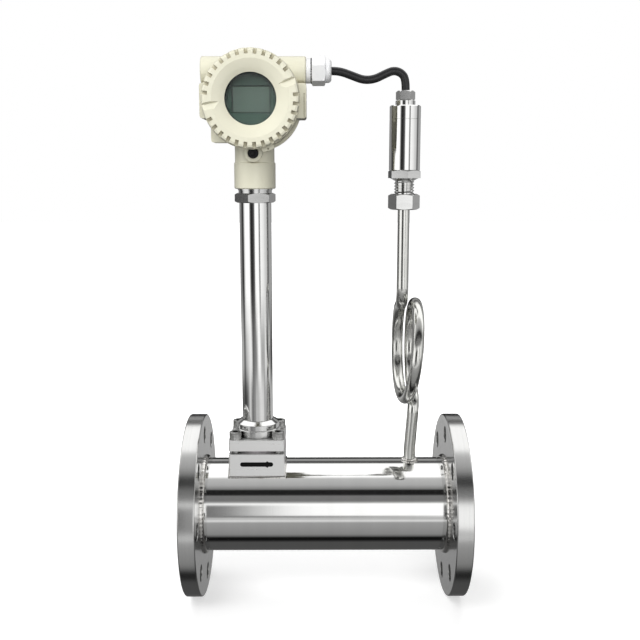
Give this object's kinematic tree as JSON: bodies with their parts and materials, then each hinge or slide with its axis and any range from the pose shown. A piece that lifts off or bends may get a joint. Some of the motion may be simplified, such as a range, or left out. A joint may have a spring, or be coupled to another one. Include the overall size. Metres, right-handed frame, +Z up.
{
  "type": "vortex flow meter",
  "caption": "Flanged vortex flow meter with a display head on a long stem and a pressure transmitter on a coiled siphon tube, wired to the head.",
  "frame": {"origin": "centre of the inlet flange's sealing face", "axes": "+X along the pipe in flow direction, +Z up along the stem, -Y towards the display"},
  "size_m": [0.306, 0.2, 0.5868],
  "materials": {
    "stainless_polished": "polished stainless steel",
    "stainless_turned": "turned stainless steel, satin",
    "weld_bead": "ground weld bead",
    "screw_steel": "bright stainless screws",
    "seat_gasket": "grey fibre gasket",
    "cream_enamel": "gloss cream enamel on cast aluminium",
    "black_oxide": "black finish",
    "white_nylon": "white nylon",
    "black_rubber": "black rubber",
    "cable_sheath": "black cable sheath",
    "display_plate": "dark grey green plate",
    "display_screen": "grey green liquid crystal panel",
    "circuit_board": "green circuit board",
    "post_brass": "plated brass posts",
    "terminal_plastic": "green terminal plastic",
    "window_glass": "clear glass"
  },
  "bodies": {
    "meter": {"flow_tube": "stainless_polished", "inlet_flange": "stainless_turned", "outlet_flange": "stainless_turned", "inlet_weld": "weld_bead", "outlet_weld": "weld_bead", "bluff_body": "stainless_turned", "vortex_probe": "stainless_turned", "sensor_seat": "stainless_turned", "seat_gasket": "seat_gasket", "clamp_plate": "stainless_turned", "clamp_screws": "screw_steel", "stem_collar": "stainless_turned", "stem_tube": "stainless_polished", "stem_adapter": "stainless_turned", "probe_lead": "cable_sheath", "tap_weld": "weld_bead", "siphon_tube": "stainless_polished", "union_nipple": "stainless_turned", "union_nut": "stainless_turned", "union_seal": "seat_gasket", "transmitter_base": "stainless_turned", "pressure_cell": "stainless_turned", "transmitter_body": "stainless_polished", "transmitter_cap": "stainless_turned", "cable_nut": "stainless_turned", "cable_grommet": "black_rubber", "signal_cable": "cable_sheath"},
    "head": {"housing": "cream_enamel", "neck_screw": "black_oxide", "blind_plug": "stainless_turned", "gland_body": "white_nylon", "gland_washer": "black_rubber", "gland_nut": "white_nylon", "gland_seal": "black_rubber", "display_bezel": "display_plate", "lcd_panel": "display_screen", "display_board": "circuit_board", "main_board": "circuit_board", "board_posts": "post_brass", "terminal_block": "terminal_plastic", "terminal_screws": "screw_steel", "earth_screw": "screw_steel"},
    "front_ring": {"front_seal": "black_rubber"},
    "front_cap": {"front_cover": "cream_enamel", "window_gasket": "black_rubber", "window_glass": "window_glass", "window_ring": "black_oxide"},
    "rear_ring": {"rear_seal": "black_rubber"},
    "rear_cap": {"rear_cover": "cream_enamel"}
  },
  "joints": [
    {"name": "head_turn", "type": "hinge", "parent": "meter", "child": "head", "pos_m": [0.079, 0, 0.37], "axis": [0, 0, 1], "range_deg": [-20, 20], "deforming": ["signal_cable"]},
    {"name": "front_slide", "type": "slide", "parent": "head", "child": "front_ring", "axis": [0, -1, 0], "range_m": [0, 0.0101]},
    {"name": "front_turn", "type": "hinge", "parent": "front_ring", "child": "front_cap", "pos_m": [0.079, 0, 0.438], "axis": [0, -1, 0], "range_deg": [0, 1800]},
    {"name": "rear_slide", "type": "slide", "parent": "head", "child": "rear_ring", "axis": [0, 1, 0], "range_m": [0, 0.0101]},
    {"name": "rear_turn", "type": "hinge", "parent": "rear_ring", "child": "rear_cap", "pos_m": [0.079, 0, 0.438], "axis": [0, 1, 0], "range_deg": [0, 1800]}
  ],
  "couplings": [
    {"joint": "front_slide", "follows": "front_turn", "m_per_rad": 0.00031831},
    {"joint": "rear_slide", "follows": "rear_turn", "m_per_rad": 0.00031831}
  ]
}
